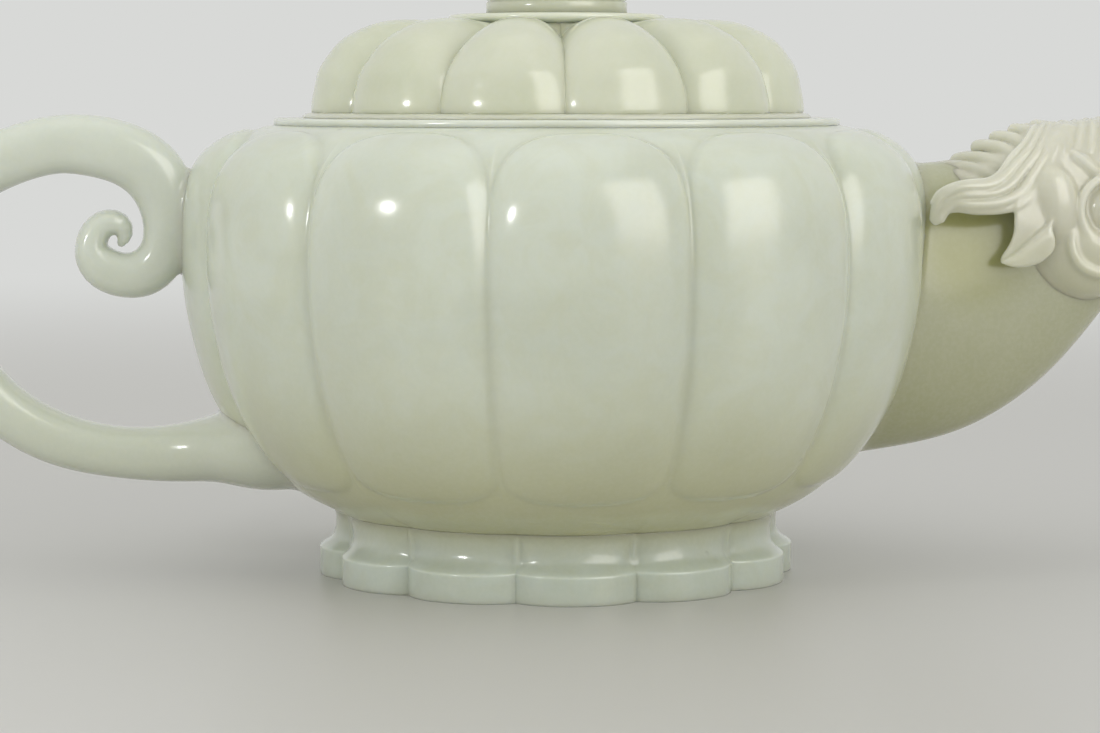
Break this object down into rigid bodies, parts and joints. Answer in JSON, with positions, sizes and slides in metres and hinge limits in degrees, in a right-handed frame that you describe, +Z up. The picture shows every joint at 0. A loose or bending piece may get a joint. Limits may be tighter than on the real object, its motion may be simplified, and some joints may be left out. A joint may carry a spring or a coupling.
{
  "type": "jade teapot",
  "caption": "Carved jade teapot with a petalled belly, a scroll handle, a beast-head spout and a lobed lid that lifts off.",
  "frame": {"origin": "on the pot's vertical axis, in the plane that the foot stands on", "axes": "+X towards the spout, -X towards the handle, +Z up; the pot's middle plane is y = 0"},
  "size_m": [0.1837, 0.1056, 0.0921],
  "materials": {
    "pot_jade": "polished nephrite, waxy gloss",
    "foot_jade": "polished nephrite, waxy gloss",
    "handle_jade": "polished nephrite, waxy gloss",
    "spout_jade": "polished nephrite, waxy gloss",
    "carved_jade": "polished nephrite, waxy gloss",
    "lid_jade": "polished nephrite, waxy gloss"
  },
  "bodies": {
    "pot": {"pot_body": "pot_jade", "pot_shoulder": "pot_jade", "mouth_collar": "pot_jade", "foot_ring": "foot_jade", "handle": "handle_jade", "spout_neck": "spout_jade", "beast_head": "carved_jade", "mane": "carved_jade", "hair_lock_left": "carved_jade", "hair_lock_right": "carved_jade", "ear_left": "carved_jade", "ear_right": "carved_jade"},
    "lid": {"lid_dome": "lid_jade", "lid_locating_ring": "lid_jade", "lid_disc": "lid_jade", "knob_stem": "lid_jade", "knob_bud": "lid_jade"}
  },
  "joints": [
    {"name": "lid_lift", "type": "slide", "parent": "pot", "child": "lid", "axis": [0, 0, 1], "range_m": [0, 0.08]}
  ]
}
